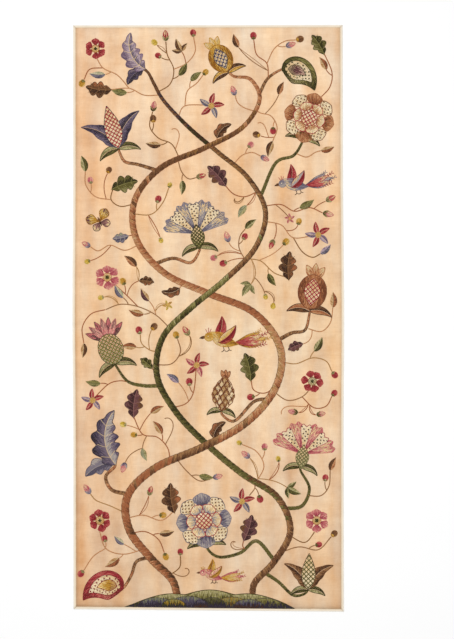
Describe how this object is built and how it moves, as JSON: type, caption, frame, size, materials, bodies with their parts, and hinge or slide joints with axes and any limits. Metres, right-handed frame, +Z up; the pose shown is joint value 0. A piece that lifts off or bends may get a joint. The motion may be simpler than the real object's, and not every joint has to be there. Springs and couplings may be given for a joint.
{
  "type": "crewel embroidery panel",
  "caption": "Flat rectangular cloth panel worked in raised wool with a flowering tree, birds and leaves, its edges bound with narrow cream tape.",
  "frame": {"origin": "middle of the panel, on the surface that it lies on", "axes": "+X to the panel's right, +Y to its top edge, +Z up out of its worked face"},
  "size_m": [0.9266, 2.0016, 0.0036],
  "materials": {
    "twill": "matt warm beige linen and cotton twill, slubby, a little toned towards the foot",
    "tape": "matt cream cotton tape, folded and sewn",
    "wool_rust": "two-ply crewel wool, rust and its neighbours, soft sheen",
    "wool_brown": "two-ply crewel wool, brown and its neighbours, soft sheen",
    "wool_tan": "two-ply crewel wool, tan and its neighbours, soft sheen",
    "wool_moss": "two-ply crewel wool, moss and its neighbours, soft sheen",
    "wool_sage": "two-ply crewel wool, sage and its neighbours, soft sheen",
    "wool_navy": "two-ply crewel wool, navy and its neighbours, soft sheen",
    "wool_slate": "two-ply crewel wool, slate and its neighbours, soft sheen",
    "wool_lilac": "two-ply crewel wool, lilac and its neighbours, soft sheen",
    "wool_crimson": "two-ply crewel wool, crimson and its neighbours, soft sheen",
    "wool_rose": "two-ply crewel wool, rose and its neighbours, soft sheen",
    "wool_plum": "two-ply crewel wool, plum and its neighbours, soft sheen",
    "wool_gold": "two-ply crewel wool, gold and its neighbours, soft sheen"
  },
  "bodies": {
    "root": {"ground_cloth": "twill", "binding_left": "tape", "binding_right": "tape", "binding_top": "tape", "binding_bottom": "tape", "mound": "wool_sage", "peony_blue": "wool_slate", "paisley_red": "wool_crimson", "tulip_brown": "wool_brown", "acanthus_navy": "wool_navy", "carnation_rose": "wool_rose", "thistle_plum": "wool_plum", "cone_tan": "wool_tan", "pomegranate_gold": "wool_rust", "carnation_blue": "wool_slate", "tulip_blue": "wool_navy", "peony_brown": "wool_rust", "pomegranate_top": "wool_gold", "acanthus_lilac": "wool_lilac", "paisley_green": "wool_moss", "bird_gold": "wool_gold", "bird_blue": "wool_slate", "bird_rose": "wool_rose", "butterfly": "wool_gold", "rosette_red_low": "wool_crimson", "rosette_pink_low": "wool_rose", "rosette_red_mid": "wool_crimson", "rosette_pink_mid": "wool_rose", "rosette_red_top": "wool_crimson", "star_low": "wool_crimson", "star_mid": "wool_crimson", "star_left": "wool_crimson", "star_right": "wool_crimson", "star_top": "wool_crimson", "oak_low_left": "wool_brown", "oak_low_right": "wool_plum", "oak_mid_left": "wool_plum", "oak_mid_right": "wool_moss", "oak_right": "wool_brown", "oak_upper_left": "wool_moss", "oak_upper_right": "wool_plum", "oak_top_left": "wool_brown", "oak_top_right": "wool_moss", "trunk_1": "wool_rust", "trunk_2": "wool_rust", "vine_1": "wool_moss", "vine_2": "wool_moss", "vine_3": "wool_moss"}
  },
  "joints": []
}
